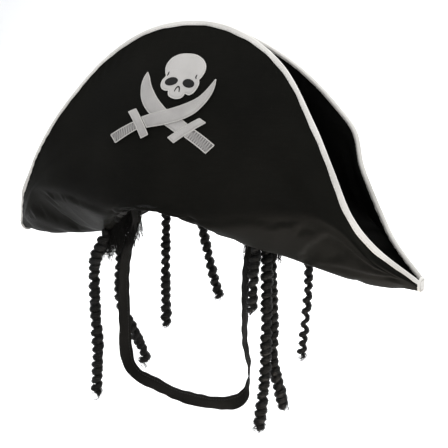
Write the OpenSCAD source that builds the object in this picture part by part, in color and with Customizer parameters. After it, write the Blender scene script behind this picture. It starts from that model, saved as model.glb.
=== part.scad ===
// Costume pirate hat: two turned-up flaps of satin over foam, a soft crown,
// hanging hair strands and a ribbon chin strap.
// +Z is up, the front faces -Y, and the origin is the middle of the head opening
// at the height of its front edge. All sizes are in millimetres.

/* [Head opening] */
// Half width of the head opening, side to side
opening_rx = 84; // [78:0.5:88]
// Half length of the head opening, front to back
opening_ry = 99; // [92:0.5:103]
// How far the sides of the opening droop below its front edge
opening_droop = 32; // [28:1:36]

/* [Flaps] */
// Half of the hat's width, from the middle to a side tip
tip_x = 240; // [225:1:255]
// Height of the flaps above the front edge of the opening
flap_h = 176; // [165:1:190]
// Thickness of the satin on each side of a flap
satin_t = 0.7; // [0.5:0.1:1.2]
// Thickness of the foam inside a flap
foam_t = 2.6; // [1.5:0.1:3.5]
// How far the binding reaches down from the edge
binding_h = 4.5; // [4:0.5:8]
// Thickness of the binding cloth
binding_t = 0.8; // [0.6:0.1:1.2]

/* [Crown and sweatband] */
// Height of the crown's ridge
crown_h = 118; // [100:1:122]
// Thickness of the crown cloth
crown_t = 1; // [0.6:0.1:1.2]
// Height of the sweatband
sweatband_h = 24; // [18:1:28]
// Thickness of the sweatband
sweatband_t = 1.2; // [0.8:0.1:1.6]

/* [Emblem] */
// Thickness of each sewn-on patch
patch_t = 1; // [0.6:0.1:1.2]
// How far the emblem sits to the right of the middle
emblem_shift = 4; // [0:1:8]
// How far the emblem sits below its usual place
emblem_drop = 2; // [0:0.5:4]

/* [Hair and strap] */
// Thickness of a hair strand
strand_d = 10; // [8:0.5:11]
// Width of the chin ribbon
strap_w = 14; // [10:0.5:16]
// Thickness of the chin ribbon
strap_t = 1.2; // [0.8:0.1:1.4]

/* [Hidden] */

// ---- flap lines: stations from the middle (first) to the side tip (last) ----
front = -1;
back = 1;
last_station = 7;
opening_station = 3.5;
flap_t = 2 * satin_t + foam_t;
kx = tip_x / 240;
kz = flap_h / 176;

// Upper edge of each flap
FRONT_EDGE = [
    [0, -14, 176], [55, -18, 166], [105, -26, 135], [145, -44, 86],
    [170, -54, 45], [190, -55, 4], [210, -39, -27], [240, -9, -60]
];
BACK_EDGE = [
    [0, 10, 175], [55, 17, 158], [105, 22, 128], [145, 24, 88],
    [170, 20, 38], [190, 23, -6], [210, 13, -32], [240, 3, -60]
];
// Widest line of each flap, where it starts to roll under
FRONT_BULGE = [
    [0, -104, 12], [42, -99, 9], [78, -91, 3], [110, -81, 0],
    [142, -71, -2], [174, -59, -12], [205, -42, -42], [240, -12, -64]
];
BACK_BULGE = [
    [0, 104, 13], [42, 98, 10], [78, 88, 3], [110, 72, 0],
    [142, 55, -8], [174, 42, -22], [207, 28, -40], [240, 6, -64]
];
// Lowest line of each flap
FRONT_FOLD = [
    [0, -103, 1.5], [36, -95, -6], [66, -76, -21], [90, -50, -36],
    [116, -36, -44], [152, -32, -53], [194, -23, -64], [240, -8, -69]
];
BACK_FOLD = [
    [0, 103, 1], [36, 95, -2], [66, 76, -11], [90, 50, -26],
    [116, 34, -40], [152, 26, -52], [194, 16, -62.5], [240, 2, -69]
];

// Cubic curve through p1 (f = 0) and p2 (f = 1)
function blend4(p0, p1, p2, p3, f) = 0.5 * (
    2 * p1 + (p2 - p0) * f + (2 * p0 - 5 * p1 + 4 * p2 - p3) * f * f
    + (3 * p1 - p0 - 3 * p2 + p3) * f * f * f);

function unit(v) = v / norm(v);
function smooth(x) = let (q = max(0, min(1, x))) q * q * (3 - 2 * q);

// Station i of a line, with the other half of the hat beyond its middle
function station(line, i) =
    i < 0 ? [-line[-i][0], line[-i][1], line[-i][2]]
    : i > last_station ? 2 * line[last_station] - line[2 * last_station - i]
    : line[i];

function scaled(p) = [p[0] * kx, p[1], p[2] > 0 ? p[2] * kz : p[2]];

// Point on a line at station u, which is negative on the left
function on_line(line, u) =
    let (a = abs(u), i = min(floor(a), last_station - 1),
        p = blend4(station(line, i - 1), station(line, i),
            station(line, i + 1), station(line, i + 2), a - i))
    scaled([u < 0 ? -p[0] : p[0], p[1], p[2]]);

// Height of the opening's edge at an angle from the front. It rises sooner
// towards the back, which is cut higher than the front.
function droop(phi) = -opening_droop * pow(abs(sin(phi)), cos(phi) > 0 ? 2.2 : 5);

// The same height at an angle from the middle of one flap
function side_droop(phi, side) = droop(side == front ? phi : 180 - phi);

// Depth of the seam below the sides of the opening, at the tips
seam_drop = 38;

// Lower edge: round the head opening, then along the seam out to the tip
function lower_edge(u, side) =
    let (a = abs(u), s = u < 0 ? -1 : 1, phi = 90 * a / opening_station,
        w = (a - opening_station) / (last_station - opening_station))
    a <= opening_station
        ? [s * opening_rx * sin(phi), side * opening_ry * cos(phi), side_droop(phi, side)]
        : [s * (opening_rx + (tip_x - opening_rx) * w), -3 * w * w,
            -opening_droop - seam_drop * pow(w, 0.9)];

// Soft waves of the two upper edges: the left end of the front edge flares out, and
// the back edge swells on the right
function edge_wave(u, side) =
    side == front ? [-5, 0, 0] * smooth((-u - 4.6) / 1.2)
    : [5, 0, 2] * exp(-pow((u - 3.4) / 0.4, 2));

// The five points of a flap's cross section at station u
function section(u, side) =
    let (edge = on_line(side == front ? FRONT_EDGE : BACK_EDGE, u) + edge_wave(u, side),
        bulge = on_line(side == front ? FRONT_BULGE : BACK_BULGE, u),
        fold = on_line(side == front ? FRONT_FOLD : BACK_FOLD, u),
        belly = 8 * (1 - abs(u) / last_station))
    [edge, (edge + bulge) / 2 + [0, side * belly, 0], bulge, fold, lower_edge(u, side)];

function section_point(c, k) = k < 0 ? 2 * c[0] - c[1] : k > 4 ? 2 * c[4] - c[3] : c[k];

// The left tip is flexed upwards
left_flex = [4, 0, 9];

// Outer surface of a flap, t = 0 at the upper edge and 4 at the lower edge
function skin(u, t, side) =
    let (c = section(u, side), i = min(floor(t), 3))
    blend4(section_point(c, i - 1), section_point(c, i),
        section_point(c, i + 1), section_point(c, i + 2), t - i)
    + left_flex * smooth((-u - opening_station) / 3.5);

// Direction into the cloth. It is straight up along the lower edge, so that the
// front and back flaps meet face to face on the seam.
function into(u, t, side) =
    let (e = 0.02, ua = max(-last_station, u - e), ub = min(last_station, u + e),
        ta = max(0, t - e), tb = min(4, t + e),
        n = -side * unit(cross(skin(ub, t, side) - skin(ua, t, side),
            skin(u, tb, side) - skin(u, ta, side))),
        w = smooth(t - 3))
    unit(n * (1 - w) + [0, 0, 1] * w);

// The foam is pressed thin along the upper edge, where the binding clamps it
function pressed(t, depth) =
    depth - foam_t * 0.6 * (1 - smooth(t / 0.3)) * max(0, min(1, (depth - satin_t) / foam_t));

function layer(u, t, side, depth) = skin(u, t, side) + into(u, t, side) * pressed(t, depth);

// ---- closed solids from grids of points ----
function quad(a, b, c, d, flip) = flip ? [[a, c, b], [a, d, c]] : [[a, b, c], [a, c, d]];

// A sheet with outer points A and inner points B, each a list of rows
module sheet(A, B, flip) {
    rows = len(A);
    cols = len(A[0]);
    n = rows * cols;
    faces = concat(
        [for (i = [0:rows - 2], j = [0:cols - 2], q = quad(i * cols + j, (i + 1) * cols + j,
            (i + 1) * cols + j + 1, i * cols + j + 1, flip)) q],
        [for (i = [0:rows - 2], j = [0:cols - 2], q = quad(n + i * cols + j,
            n + i * cols + j + 1, n + (i + 1) * cols + j + 1, n + (i + 1) * cols + j, flip)) q],
        [for (i = [0:rows - 2], q = quad(n + i * cols, n + (i + 1) * cols,
            (i + 1) * cols, i * cols, flip)) q],
        [for (i = [0:rows - 2], k = [cols - 1], q = quad(i * cols + k, (i + 1) * cols + k,
            n + (i + 1) * cols + k, n + i * cols + k, flip)) q],
        [for (j = [0:cols - 2], q = quad(n + j, j, j + 1, n + j + 1, flip)) q],
        [for (j = [0:cols - 2], k = [(rows - 1) * cols], q = quad(k + j, n + k + j,
            n + k + j + 1, k + j + 1, flip)) q]);
    polyhedron(points = concat([for (r = A, p = r) p], [for (r = B, p = r) p]), faces = faces);
}

// A rod through a list of rings of equal length, closed or left as a loop
module rod(rings, caps, flip = false, loop = false) {
    m = len(rings[0]);
    k = len(rings);
    side_faces = [for (i = [0:(loop ? k - 1 : k - 2)], j = [0:m - 1],
        q = quad(i * m + j, i * m + (j + 1) % m, ((i + 1) % k) * m + (j + 1) % m,
            ((i + 1) % k) * m + j, flip)) q];
    end_faces = loop ? [] : concat(
        [for (c = caps) flip ? c : [c[2], c[1], c[0]]],
        [for (c = caps) [for (v = flip ? [c[2], c[1], c[0]] : c) v + (k - 1) * m]]);
    polyhedron(points = [for (r = rings, p = r) p], faces = concat(side_faces, end_faces));
}

function fan(m) = [for (i = [1:m - 2]) [0, i, i + 1]];

// ---- flaps ----
station_step = 0.5;
section_rows = 10;
stations = [for (i = [-last_station / station_step:last_station / station_step]) i * station_step];

// Place on a cross section that lies h below the upper edge, measured on the cloth
function below_edge(u, h, side, t = 0) =
    let (step = 0.05, widest = 2, d = norm(skin(u, t + step, side) - skin(u, t, side)))
    d >= h || t + step >= widest ? t + step * min(1, h / d)
    : below_edge(u, h - d, side, t + step);

// How close station u is to a tip: 0 over most of the flap and 1 at the tip
function near_tip(u) = smooth((abs(u) - 5.5) / 1.5);

// The binding narrows towards the tips, except at the flared left end of the front edge
function binding_low(u, side) =
    let (narrow = side == front && u < 0 ? 0.15 : 0.6)
    below_edge(u, binding_h * (1 - narrow * near_tip(u)), side);

// Its inner leg is shorter on the back flap
function inner_leg(u, side) = (1 - 0.9 * near_tip(u)) * (side == front ? 1 : 0.4);

// Places of a flap's corners: edge, half way down the binding, its lower edge, the rest
function flap_rows(u, side) =
    let (low = binding_low(u, side))
    concat([0, low / 2],
        [for (j = [0:section_rows]) low + (4 - low) * j / section_rows]);

module flap_layer(side, from_depth, to_depth) {
    sheet([for (u = stations) [for (t = flap_rows(u, side)) layer(u, t, side, from_depth)]],
        [for (u = stations) [for (t = flap_rows(u, side)) layer(u, t, side, to_depth)]],
        side == back);
}

// A folded strip over the upper edge of a flap, with a small gap all round.
// Each corner is [depth, part of the way down, height above the edge].
module binding(side) {
    gap = 0.3;
    wall = gap + binding_t;
    far = flap_t + gap;
    profile = [
        [-wall, 1, 0], [-wall, 0.5, 0], [-wall, 0, wall],
        [flap_t + wall, 0, wall], [flap_t + wall, 0.5, 0], [flap_t + wall, 1, 0],
        [far, 1, 0], [far, 0.5, 0], [far, 0, gap],
        [-gap, 0, gap], [-gap, 0.5, 0], [-gap, 1, 0]
    ];
    rings = [for (u = stations)
        let (lift = unit(skin(u, 0, side) - skin(u, 0.1, side)),
            low = binding_low(u, side), inner_low = low * inner_leg(u, side))
        [for (q = profile)
            layer(u, q[1] * (q[0] > 0 ? inner_low : low), side, q[0]) + lift * q[2]]];
    caps = [[0, 1, 10], [0, 10, 11], [1, 2, 9], [1, 9, 10], [2, 3, 8], [2, 8, 9],
        [3, 4, 7], [3, 7, 8], [4, 5, 6], [4, 6, 7]];
    rod(rings, caps, side == back);
}

module front_outer() { color("#23231f") flap_layer(front, 0, satin_t); }
module front_foam() { color("#3a3936") flap_layer(front, satin_t, satin_t + foam_t); }
module front_lining() { color("#1b1b19") flap_layer(front, satin_t + foam_t, flap_t); }
module front_binding() { color("#e6e1da") binding(front); }
module back_outer() { color("#23231f") flap_layer(back, 0, satin_t); }
module back_foam() { color("#3a3936") flap_layer(back, satin_t, satin_t + foam_t); }
module back_lining() { color("#1b1b19") flap_layer(back, satin_t + foam_t, flap_t); }
module back_binding() { color("#e6e1da") binding(back); }

// Folded tabs of tape, stitched over the open end of the flaps at each tip
module tip_tacks() {
    tab = [1.2, 17, 15];
    middle = [tip_x + 1 + tab[0] / 2, -4, -64];
    left_lean = 24;
    color("#cfcac3") {
        translate(middle) cube(tab, center = true);
        translate([-middle[0] - 3.6, middle[1], middle[2]] + left_flex)
            rotate([0, -left_lean, 0]) cube(tab, center = true);
    }
}

// ---- crown ----
ridge_rx = 45;
crown_gap = 0.6;

// v = 0 at the opening and 1 along the ridge
function crown_point(phi, v, side) =
    let (rx = opening_rx - crown_gap, ry = opening_ry - crown_gap,
        z0 = side_droop(phi, side) + 1, z1 = crown_h - 20 * pow(sin(phi), 2))
    [(rx - (rx - ridge_rx) * pow(v, 1.5)) * sin(phi),
        side * ry * cos(phi) * pow(1 - pow(v, 1.4), 0.7), z0 + (z1 - z0) * v];

function crown_in(phi, v, side) =
    unit([-sin(phi) * (1 - v), -side * cos(phi) * (1 - v), -v - 0.01]);

module crown_half(side) {
    rows = 20;
    cols = 8;
    A = [for (i = [0:rows]) [for (j = [0:cols])
        crown_point(180 * i / rows - 90, 1 - j / cols, side)]];
    B = [for (i = [0:rows]) [for (j = [0:cols])
        let (phi = 180 * i / rows - 90, v = 1 - j / cols,
            d = crown_in(phi, v, side), flat = i == 0 || i == rows || j == 0)
        A[i][j] + crown_t * (flat ? [d[0], 0, d[2]] : d)]];
    sheet(A, B, side == back);
}

module crown_front() { color("#262622") crown_half(front); }
module crown_back() { color("#262622") crown_half(back); }

// ---- sweatband and hair weft ----
module sweatband() {
    steps = 40;
    low_inset = 2.6;
    high_inset = [6.5, 11];
    rings = [for (i = [0:steps - 1])
        let (phi = 360 * i / steps, z = droop(phi) + 3.5,
            lo = [opening_rx - low_inset, opening_ry - low_inset],
            hi = [opening_rx - high_inset[0], opening_ry - high_inset[1]], t = sweatband_t)
        [
            [lo[0] * sin(phi), -lo[1] * cos(phi), z],
            [hi[0] * sin(phi), -hi[1] * cos(phi), z + sweatband_h],
            [(hi[0] - t) * sin(phi), -(hi[1] - t) * cos(phi), z + sweatband_h],
            [(lo[0] - t) * sin(phi), -(lo[1] - t) * cos(phi), z]
        ]];
    color("#191917") rod(rings, [], false, true);
}

// A strip of stitched hair roots, laid under a flap between stations u0 and u1
module weft_strip(side, u0, u1) {
    weft_t = [3.7, 3.82, 3.94];
    near = -1.3;
    deep = -2.5;
    us = concat([u0], [for (u = stations) if (u > u0 + 0.1 && u < u1 - 0.1) u], [u1]);
    sheet([for (u = us) [for (t = weft_t) layer(u, t, side, deep)]],
        [for (u = us) [for (t = weft_t) layer(u, t, side, near)]], side == back);
}

module hair_weft() {
    side_from = 1.5;
    side_to = 3.4;
    color("#131312") {
        weft_strip(front, side_from, side_to);
        weft_strip(front, -side_to, -side_from);
        weft_strip(back, -side_to, side_to);
    }
}

// ---- emblem: patches that follow the front flap ----
station_w = 50;
section_h = 95;
patch_gap = 0.4;

// Point of the front flap a mm right of the emblem's middle and b mm below the edge
function on_front(a, b, depth) =
    layer((a + emblem_shift) / station_w, (b + emblem_drop) / section_h, front, depth);

// A patch from rows of [left, right] points, raised by lift
module patch(rows, lift) {
    A = [for (s = [0:2]) [for (r = rows) on_front(r[0][0] + (r[1][0] - r[0][0]) * s / 2,
        r[0][1] + (r[1][1] - r[0][1]) * s / 2, -lift - patch_t)]];
    B = [for (s = [0:2]) [for (r = rows) on_front(r[0][0] + (r[1][0] - r[0][0]) * s / 2,
        r[0][1] + (r[1][1] - r[0][1]) * s / 2, -lift)]];
    sheet(A, B, false);
}

// Skull half widths at distances below the flap's edge
skull_x = 3;
SKULL = [
    [34, 6], [36, 12], [40, 17], [46, 20], [53, 20.5], [59, 19], [63, 18.5],
    [68, 18.5], [71, 15], [74, 10.5], [79, 9.5], [82, 6.5]
];

module skull_patch() {
    color("#d2ccc8")
        patch([for (r = SKULL) [[skull_x - r[1], r[0]], [skull_x + r[1], r[0]]]], patch_gap);
}

// A dark inlay with round ends
module inlay(a, b, half_w, half_h) {
    rows = 6;
    patch([for (i = [0:rows]) let (c = 165 * i / rows + 7.5)
        [[a - half_w * sin(c), b - half_h * cos(c)], [a + half_w * sin(c), b - half_h * cos(c)]]],
        patch_gap + patch_t + 0.2);
}

module skull_sockets() {
    color("#3a3836") {
        inlay(skull_x - 9.5, 63, 6, 4);
        inlay(skull_x + 9.5, 63, 6, 4);
        inlay(skull_x, 71.5, 2.6, 2.8);
    }
}

// Hilt end, guard and blade of a sword, as [along right, down, half width]
SWORD = [
    [-64, 120, 7.2], [-34, 111, 7.2], [-33.8, 111, 18], [-26, 108.5, 18], [-25.8, 108.5, 6.5],
    [-12, 106, 7], [8, 102, 7.6], [22, 95, 7.8], [32, 85, 7.2], [38, 74, 5.4],
    [41, 64, 3], [42, 54, 0.6]
];

// The swords are mirror images about the line a = middle
module sword(mirrored, lift) {
    middle = 0;
    m = mirrored ? -1 : 1;
    rows = [for (i = [0:len(SWORD) - 1])
        let (p = SWORD[i], q0 = SWORD[max(0, i - 1)], q1 = SWORD[min(len(SWORD) - 1, i + 1)],
            d = unit([q1[0] - q0[0], q1[1] - q0[1]]), n = [d[1], -d[0]])
        [[middle + m * (p[0] + n[0] * p[2]), p[1] + n[1] * p[2]],
            [middle + m * (p[0] - n[0] * p[2]), p[1] - n[1] * p[2]]]];
    patch([for (r = rows) mirrored ? [r[1], r[0]] : r], lift);
}

module upper_sword() { color("#d2ccc8") sword(false, patch_gap + patch_t + 0.3); }
module lower_sword() { color("#cbc5c1") sword(true, patch_gap); }

// ---- hair strands ----
strand_sides = 10;

// Round rod through a route of points, always cut level
module strand(route) {
    n = len(route);
    curve = [for (i = [0:n - 2], f = [0, 0.5])
        blend4(i == 0 ? 2 * route[0] - route[1] : route[i - 1], route[i], route[i + 1],
            i == n - 2 ? 2 * route[n - 1] - route[n - 2] : route[i + 2], f)];
    path = concat(curve, [route[n - 1]]);
    rings = [for (i = [0:len(path) - 1])
        let (ahead = unit(path[min(len(path) - 1, i + 1)] - path[max(0, i - 1)]),
            a = unit(cross(ahead, [0, 1, 0])), b = cross(ahead, a))
        [for (k = [0:strand_sides - 1]) let (w = 360 * k / strand_sides)
            path[i] + (a * cos(w) + b * sin(w)) * strand_d / 2]];
    color("#1c1b19") rod(rings, fan(strand_sides));
}

LEFT_FRONT = [
    [-88, -50, -39], [-93, -50, -52], [-102.5, -50, -70], [-105.5, -50, -92],
    [-105, -50, -137], [-103, -50, -167], [-105, -50, -197], [-107, -50, -227]
];
LEFT_SIDE = [[-101, -7, -52], [-102.5, -7, -78], [-103.5, -7, -111], [-104, -4, -135],
    [-100.5, 12, -167], [-101, 28, -191], [-98, 32, -205], [-102, 30, -215]];
LEFT_BACK = [[-65, 30, -20], [-66, 30, -60], [-67, 30, -95], [-67, 30, -130],
    [-67, 30, -164]];
NAPE = [[-62, 88, -16], [-55, 88, -52], [-46, 88, -88], [-38, 88, -117], [-30, 88, -140]];
RIGHT_FRONT = [[78, -26, -38], [76, -26, -56], [74.5, -26, -72], [74, -26, -90],
    [73, -26, -112]];
RIGHT_INNER = [[80, -7, -43], [80, -7, -90], [80, -7, -135], [80, -8, -175],
    [80, -14, -205], [80, -22, -238]];
RIGHT_OUTER = [[76.5, 10, -42], [77.5, 10, -90], [79, 10, -135], [80, 10, -175],
    [82, 20, -205], [84, 28, -232]];
RIGHT_BACK = [[94, 60, -32], [95, 60, -70], [95, 60, -110], [92, 60, -142],
    [90, 60, -166], [88, 60, -183]];

module strand_left_front() { strand(LEFT_FRONT); }
module strand_left_side() { strand(LEFT_SIDE); }
module strand_left_back() { strand(LEFT_BACK); }
module strand_nape() { strand(NAPE); }
module strand_right_front() { strand(RIGHT_FRONT); }
module strand_right_inner() { strand(RIGHT_INNER); }
module strand_right_outer() { strand(RIGHT_OUTER); }
module strand_right_back() { strand(RIGHT_BACK); }

// ---- chin strap ----
// Route in the plane of the strap, [x, z], and the ribbon's turn about its own
// length: 0 where its width runs front to back, 90 where it stands upright
strap_y = -20;
STRAP = [
    [-71.2, -29, 0], [-72.5, -38, 0], [-80, -58, 10], [-87, -85, 15], [-89, -120, 20],
    [-88, -150, 30], [-88, -176, 40], [-83, -196, 60], [-70, -207, 75], [-50, -212, 85],
    [-25, -218, 90], [0, -220, 90], [27, -219, 90], [48, -214, 80], [62, -204, 60],
    [67, -188, 35], [67, -170, 20], [62, -145, 10], [63, -112, 5], [62, -88, 0],
    [64, -62, 0], [70, -38, 0], [71.2, -29, 0]
];

module chin_strap() {
    n = len(STRAP);
    rings = [for (i = [0:n - 1])
        let (p = STRAP[i], a = STRAP[max(0, i - 1)], b = STRAP[min(n - 1, i + 1)],
            d = unit([b[0] - a[0], 0, b[1] - a[1]]), side_dir = [-d[2], 0, d[0]],
            wide = [0, 1, 0] * cos(p[2]) + side_dir * sin(p[2]),
            thin = side_dir * cos(p[2]) - [0, 1, 0] * sin(p[2]))
        [for (c = [[-1, -1], [1, -1], [1, 1], [-1, 1]])
            [p[0], strap_y, p[1]] + wide * c[0] * strap_w / 2 + thin * c[1] * strap_t / 2]];
    color("#1d1c1a") rod(rings, fan(4), true);
}

// The ribbon's two ends, which lie flat inside the sweatband
strap_end_x = 72.8;
strap_end_top = -12;
strap_end_bottom = -24;

module strap_ends() {
    color("#1d1c1a")
        for (s = [-1, 1])
            translate([s * strap_end_x, strap_y, (strap_end_top + strap_end_bottom) / 2])
                cube([strap_t, strap_w, strap_end_top - strap_end_bottom], center = true);
}

// Stitched squares that hold the ribbon's ends
module strap_tacks() {
    tack = [0.5, 11, 7];
    inset = strap_t / 2 + tack[0] / 2;
    color("#100f0f")
        for (s = [-1, 1])
            translate([s * (strap_end_x - inset), strap_y, strap_end_top - 1 - tack[2] / 2])
                cube(tack, center = true);
}

front_outer();
front_foam();
front_lining();
front_binding();
back_outer();
back_foam();
back_lining();
back_binding();
tip_tacks();
crown_front();
crown_back();
sweatband();
hair_weft();
skull_patch();
skull_sockets();
upper_sword();
lower_sword();
strand_left_front();
strand_left_side();
strand_left_back();
strand_nape();
strand_right_front();
strand_right_inner();
strand_right_outer();
strand_right_back();
chin_strap();
strap_ends();
strap_tacks();
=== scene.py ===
import math

import bpy
import numpy as np
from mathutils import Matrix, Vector, geometry


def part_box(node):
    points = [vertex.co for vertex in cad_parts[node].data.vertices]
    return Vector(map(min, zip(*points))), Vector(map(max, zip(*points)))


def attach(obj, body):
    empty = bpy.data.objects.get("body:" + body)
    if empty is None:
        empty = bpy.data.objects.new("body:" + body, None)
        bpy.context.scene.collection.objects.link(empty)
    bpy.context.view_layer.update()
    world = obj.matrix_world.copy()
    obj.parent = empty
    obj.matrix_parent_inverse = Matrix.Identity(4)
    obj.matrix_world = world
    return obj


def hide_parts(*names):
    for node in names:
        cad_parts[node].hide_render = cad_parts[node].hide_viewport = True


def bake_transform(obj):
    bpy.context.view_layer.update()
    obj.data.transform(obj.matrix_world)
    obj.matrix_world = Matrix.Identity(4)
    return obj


# Looks of a costume pirate hat. Lengths are in metres, the front faces -Y, and the
# origin is the middle of the head opening at the height of its front edge.
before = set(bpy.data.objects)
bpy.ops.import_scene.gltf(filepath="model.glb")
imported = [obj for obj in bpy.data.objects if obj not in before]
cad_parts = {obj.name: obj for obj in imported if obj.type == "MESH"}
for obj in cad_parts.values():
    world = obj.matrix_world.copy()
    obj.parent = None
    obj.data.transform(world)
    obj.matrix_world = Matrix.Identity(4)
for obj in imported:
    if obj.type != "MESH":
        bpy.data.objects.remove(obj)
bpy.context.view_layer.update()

MM = 0.001
UP = np.array([0.0, 0.0, 1.0])
FRONT, BACK = -1, 1


# ---- camera
CAMERA_AZIMUTH = math.radians(30)
CAMERA_ELEVATION = math.radians(12)
CAMERA_DISTANCE = 1.03
CAMERA_LENS_MM = 79.46
AIM_RIGHT, AIM_UP = 0.0225, -0.0314


def make_camera():
    sin_a, cos_a = math.sin(CAMERA_AZIMUTH), math.cos(CAMERA_AZIMUTH)
    sin_e, cos_e = math.sin(CAMERA_ELEVATION), math.cos(CAMERA_ELEVATION)
    backward = Vector((sin_a * cos_e, -cos_a * cos_e, sin_e))
    right = Vector((cos_a, sin_a, 0))
    aim = right * AIM_RIGHT + backward.cross(right) * AIM_UP
    data = bpy.data.cameras.new("camera")
    data.lens = CAMERA_LENS_MM
    data.clip_start, data.clip_end = 0.05, 50
    camera = bpy.data.objects.new("camera", data)
    camera.location = aim + backward * CAMERA_DISTANCE
    camera.rotation_euler = backward.to_track_quat("Z", "Y").to_euler()
    bpy.context.scene.collection.objects.link(camera)
    bpy.context.scene.camera = camera


make_camera()


# ---- mesh tools
def blend4(p0, p1, p2, p3, f):
    """Cubic curve through p1 (f = 0) and p2 (f = 1)."""
    return 0.5 * (2 * p1 + (p2 - p0) * f + (2 * p0 - 5 * p1 + 4 * p2 - p3) * f ** 2
                  + (3 * p1 - p0 - 3 * p2 + p3) * f ** 3)


def curve_through(points, step, closed=False):
    """Points about step apart on a smooth curve through the given ones."""
    p = np.array(points, float)
    if closed:
        p = np.vstack([p[-1], p, p[0], p[1]])
    else:
        p = np.vstack([2 * p[0] - p[1], p, 2 * p[-1] - p[-2]])
    fine = []
    for i in range(1, len(p) - 2):
        f = np.linspace(0, 1, 24, endpoint=False)[:, None]
        fine.append(blend4(p[i - 1], p[i], p[i + 1], p[i + 2], f))
    fine.append(p[-2:-1])
    fine = np.vstack(fine)
    run = lengths_along(fine)
    count = max(3, int(round(run[-1] / step)) + 1)
    wanted = np.linspace(0, run[-1], count)
    out = np.stack([np.interp(wanted, run, fine[:, k]) for k in range(p.shape[1])], 1)
    return out[:-1] if closed else out


def lengths_along(points):
    gaps = np.linalg.norm(np.diff(points, axis=0), axis=1)
    return np.concatenate([[0], np.cumsum(gaps)])


def unit(v):
    return v / np.maximum(np.linalg.norm(v, axis=-1, keepdims=True), 1e-12)


def smooth(x):
    q = np.clip(x, 0, 1)
    return q * q * (3 - 2 * q)


def bump(x, centre, width):
    return np.exp(-((x - centre) / width) ** 2)


class Mesh:
    """Collects the parts of one mesh, with a tint for each point."""

    def __init__(self):
        self.points, self.faces, self.tints, self.count = [], [], [], 0

    def add(self, points, *faces, tint=0.5):
        """Each array of faces holds faces with equal numbers of corners."""
        points = np.asarray(points, float).reshape(-1, 3)
        self.points.append(points)
        self.faces += [np.atleast_2d(np.asarray(f, int)) + self.count for f in faces]
        self.tints.append(np.broadcast_to(np.asarray(tint, float), (len(points),)))
        self.count += len(points)

    def tube(self, line, radius, sides=6, tint=0.5, across=(0, 1, 0), closed=False):
        """A round tube along a line, whose direction stays clear of across."""
        line = np.asarray(line, float)
        around = np.roll(line, -1, 0) - np.roll(line, 1, 0)
        d = unit(around if closed else np.gradient(line, axis=0))
        a = unit(np.cross(d, np.asarray(across, float)))
        b = np.cross(d, a)
        w = np.arange(sides) * 2 * math.pi / sides
        r = np.broadcast_to(np.asarray(radius, float), (len(line),))[:, None, None]
        cos, sin = np.cos(w)[:, None], np.sin(w)[:, None]
        ring = line[:, None] + r * (a[:, None] * cos + b[:, None] * sin)
        rows = len(line)
        faces = [grid_faces(rows + closed, sides + 1, rows, sides)]
        if not closed:
            faces += [np.arange(sides), (rows - 1) * sides + np.arange(sides)[::-1]]
        tints = np.repeat(np.broadcast_to(np.asarray(tint, float), (rows,)), sides)
        self.add(ring, *faces, tint=tints)

    def build(self, name, material):
        mesh = bpy.data.meshes.new(name)
        mesh.vertices.add(self.count)
        mesh.vertices.foreach_set("co", np.vstack(self.points).astype(np.float32).ravel())
        sizes = np.concatenate([np.full(len(f), f.shape[1]) for f in self.faces])
        corners = np.concatenate([f.ravel() for f in self.faces]).astype(np.int32)
        starts = (np.cumsum(sizes) - sizes).astype(np.int32)
        mesh.loops.add(len(corners))
        mesh.loops.foreach_set("vertex_index", corners)
        mesh.polygons.add(len(sizes))
        mesh.polygons.foreach_set("loop_start", starts)
        mesh.update(calc_edges=True)
        tint = mesh.attributes.new("tint", "FLOAT", "POINT")
        tint.data.foreach_set("value", np.concatenate(self.tints).astype(np.float32))
        mesh.shade_smooth()
        mesh.materials.append(material)
        piece = bpy.data.objects.new(name, mesh)
        bpy.context.scene.collection.objects.link(piece)
        return piece


def grid_faces(rows, cols, wrap_rows=None, wrap_cols=None, first=0, flip=False):
    """Quads of a grid of points. A wrapped direction goes back to its start."""
    wide, tall = wrap_cols or cols, wrap_rows or rows
    i, j = np.meshgrid(np.arange(rows - 1), np.arange(cols - 1), indexing="ij")
    i, j = i.ravel(), j.ravel()
    i2, j2 = (i + 1) % tall * wide, (j + 1) % wide
    i, j = i % tall * wide, j % wide
    corners = [i + j, i2 + j, i2 + j2, i + j2]
    return first + np.stack(corners[::-1] if flip else corners, 1)


def add_shell(mesh, outer, inner, tint=0.5, flip=False):
    """A closed sheet between two grids of points, each rows x columns x 3."""
    rows, cols = outer.shape[:2]
    n = rows * cols
    ids = np.arange(n).reshape(rows, cols)
    rim = np.concatenate([ids[0, :-1], ids[:-1, -1], ids[-1, :0:-1], ids[:0:-1, 0]])
    ahead = np.roll(rim, -1)
    walls = [rim, ahead, n + ahead, n + rim]
    tints = np.broadcast_to(np.asarray(tint, float), (rows, cols)).ravel()
    mesh.add(np.concatenate([outer.reshape(-1, 3), inner.reshape(-1, 3)]),
             grid_faces(rows, cols, flip=flip),
             grid_faces(rows, cols, first=n, flip=not flip),
             np.stack(walls[::-1] if flip else walls, 1), tint=np.tile(tints, 2))


def thread_run(mesh, line, normal, stitch, gap, radius, tint=0.5):
    """A row of stitches: short bowed threads that dip into the cloth at both ends."""
    run = lengths_along(line)
    places = np.arange(gap, run[-1] - stitch, stitch + gap)
    s = np.linspace(0, 1, 6)
    for k, start in enumerate(places):
        at = start + s * stitch
        p = np.stack([np.interp(at, run, line[:, i]) for i in range(3)], 1)
        n = unit(np.stack([np.interp(at, run, normal[:, i]) for i in range(3)], 1))
        rise = radius * (1.5 * np.sin(math.pi * s) - 0.7)
        mesh.tube(p + n * rise[:, None], radius * (0.75 + 0.25 * np.sin(math.pi * s)),
                  5, tint + 0.1 * math.sin(k * 2.4), across=n[2])


def dress(piece, slot, *nodes):
    """Puts a piece on the hat, in place of its CAD nodes; the slot argument is not used."""
    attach(piece, "hat")
    if nodes:
        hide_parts(*nodes)


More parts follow.
